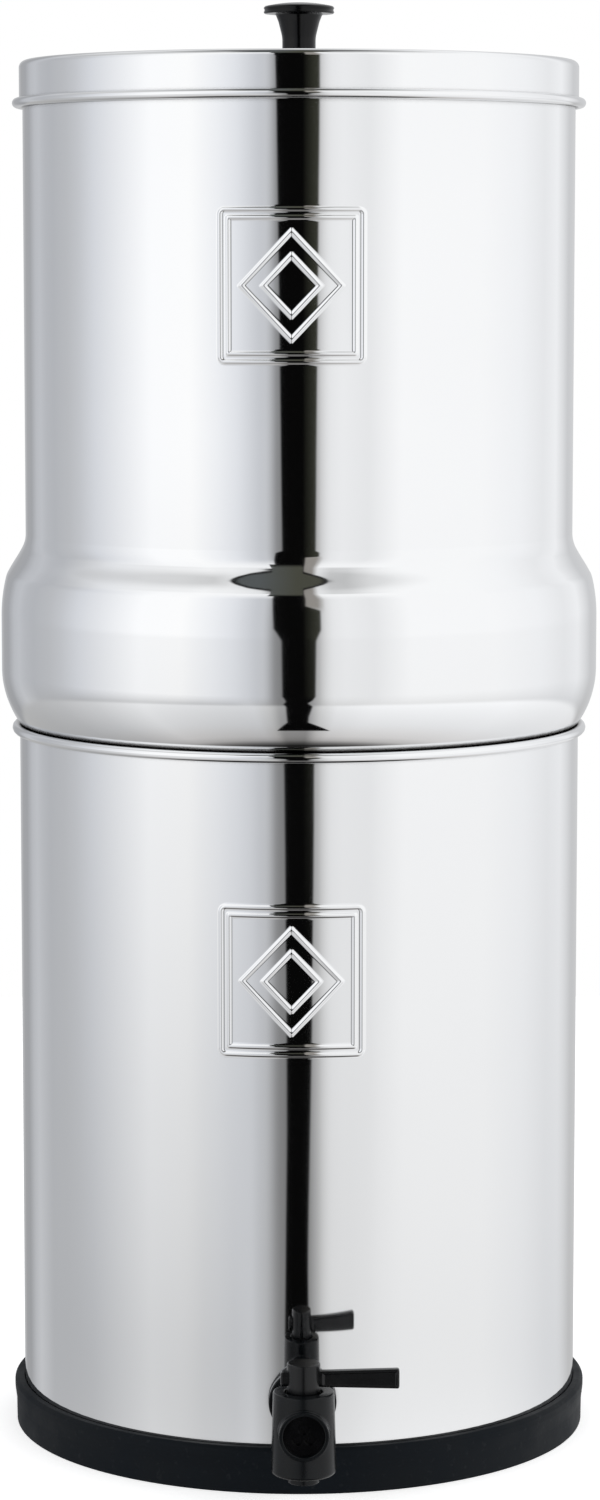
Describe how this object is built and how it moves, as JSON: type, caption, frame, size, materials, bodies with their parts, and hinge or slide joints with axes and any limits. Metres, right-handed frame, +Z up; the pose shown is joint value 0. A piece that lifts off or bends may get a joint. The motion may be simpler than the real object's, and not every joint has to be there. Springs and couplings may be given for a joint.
{
  "type": "gravity water filter with tap",
  "caption": "Countertop gravity water filter: two stacked polished steel chambers with ceramic candles, lid with knob, black base ring and lever tap.",
  "frame": {"origin": "on the vessels' upright axis, at the surface that the base ring stands on", "axes": "+Z up along the vessels' axis; -Y towards the tap; +X to the right as seen from the tap's side"},
  "size_m": [0.22, 0.2623, 0.527],
  "materials": {
    "polished_steel": "stainless steel sheet, mirror polished",
    "ring_rubber": "black rubber, matt and scuffed",
    "seal_rubber": "black rubber, matt",
    "tap_plastic": "black moulded plastic, satin",
    "knob_plastic": "black moulded plastic, glossy",
    "white_plastic": "white moulded plastic",
    "ceramic": "porous unglazed ceramic, off-white"
  },
  "bodies": {
    "lower": {"base_ring": "ring_rubber", "lower_chamber": "polished_steel", "tap_body": "tap_plastic", "tap_end_plug": "knob_plastic", "tap_washer_outer": "seal_rubber", "tap_washer_inner": "seal_rubber", "tap_nut": "tap_plastic", "valve_clip": "polished_steel"},
    "valve": {"valve_plug": "white_plastic", "valve_o_rings": "seal_rubber", "tap_lever": "knob_plastic"},
    "upper": {"upper_chamber": "polished_steel", "candle_1": "ceramic", "candle_2": "ceramic", "candle_3": "ceramic", "candle_4": "ceramic", "candle_cup_1": "white_plastic", "candle_cup_2": "white_plastic", "candle_cup_3": "white_plastic", "candle_cup_4": "white_plastic", "candle_seal_1": "seal_rubber", "candle_seal_2": "seal_rubber", "candle_seal_3": "seal_rubber", "candle_seal_4": "seal_rubber", "wing_nut_1": "white_plastic", "wing_nut_2": "white_plastic", "wing_nut_3": "white_plastic", "wing_nut_4": "white_plastic"},
    "lid": {"lid": "polished_steel", "lid_knob": "knob_plastic", "knob_washer": "polished_steel", "knob_screw": "polished_steel"}
  },
  "joints": [
    {"name": "lever_turn", "type": "hinge", "parent": "lower", "child": "valve", "pos_m": [0, -0.1403, 0.034], "axis": [0, 0, 1], "range_deg": [-90, 0]},
    {"name": "chamber_lift", "type": "slide", "parent": "lower", "child": "upper", "axis": [0, 0, 1], "range_m": [0, 0.12]},
    {"name": "lid_lift", "type": "slide", "parent": "upper", "child": "lid", "axis": [0, 0, 1], "range_m": [0, 0.08]}
  ]
}
